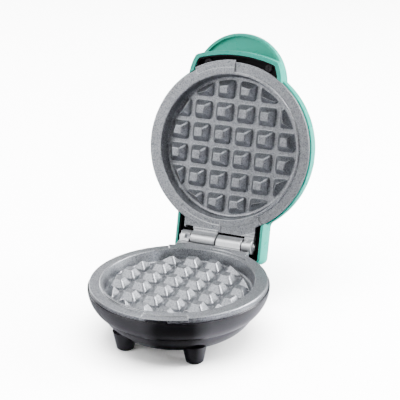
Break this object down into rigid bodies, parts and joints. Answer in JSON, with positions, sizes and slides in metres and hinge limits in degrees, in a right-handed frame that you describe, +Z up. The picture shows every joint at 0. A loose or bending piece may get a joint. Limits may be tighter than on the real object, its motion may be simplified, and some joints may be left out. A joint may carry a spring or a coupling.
{
  "type": "waffle maker",
  "caption": "Round mini waffle maker standing open: glossy black base on four feet, grey peg-grid plates, aqua lid hinged at the back with a handle at the front.",
  "frame": {"origin": "on the table, under the centre of the round base", "axes": "+Z up, +X to the right seen from the handle side, +Y towards the hinge at the back"},
  "size_m": [0.1275, 0.1946, 0.188],
  "materials": {
    "base_black": "gloss",
    "lid_aqua": "satin",
    "liner_black": "matte",
    "nonstick_grey": "satin",
    "steel_black": "satin",
    "steel": "brushed",
    "heater_sheath": "satin",
    "ceramic": "matte",
    "rubber_black": "matte",
    "phenolic": "matte",
    "lens_clear": "gloss",
    "lamp_glass": "clear",
    "lead_sleeving": "matte"
  },
  "bodies": {
    "base": {"base_shell": "base_black", "foot_pads": "rubber_black", "lower_plate": "nonstick_grey", "lower_heater": "heater_sheath", "lower_heater_bushes": "ceramic", "lower_clamp_plate": "steel", "lower_clamp_screws": "steel", "lower_heat_shield": "steel", "plate_screws": "steel", "thermostat": "steel", "thermal_fuse": "ceramic", "terminal_block": "phenolic", "base_leads": "lead_sleeving", "cord_bush": "rubber_black", "cord_clamp": "phenolic", "cord_clamp_screws": "steel", "hinge_pin": "steel", "pin_washer": "steel", "hinge_sleeve": "lead_sleeving"},
    "lid": {"lid_shell": "lid_aqua", "lid_liner": "liner_black", "liner_screws": "steel_black", "upper_plate": "nonstick_grey", "upper_heater": "heater_sheath", "upper_heater_bushes": "ceramic", "upper_clamp_plate": "steel", "upper_clamp_screws": "steel", "upper_heat_shield": "steel", "shield_screws": "steel", "lid_leads": "lead_sleeving", "indicator_lens": "lens_clear", "indicator_lamp": "lamp_glass", "lamp_holder": "ceramic"}
  },
  "joints": [
    {"name": "lid_hinge", "type": "hinge", "parent": "base", "child": "lid", "pos_m": [0, 0.0702, 0.043], "axis": [1, 0, 0], "range_deg": [0, 106], "deforming": ["hinge_sleeve"]}
  ]
}
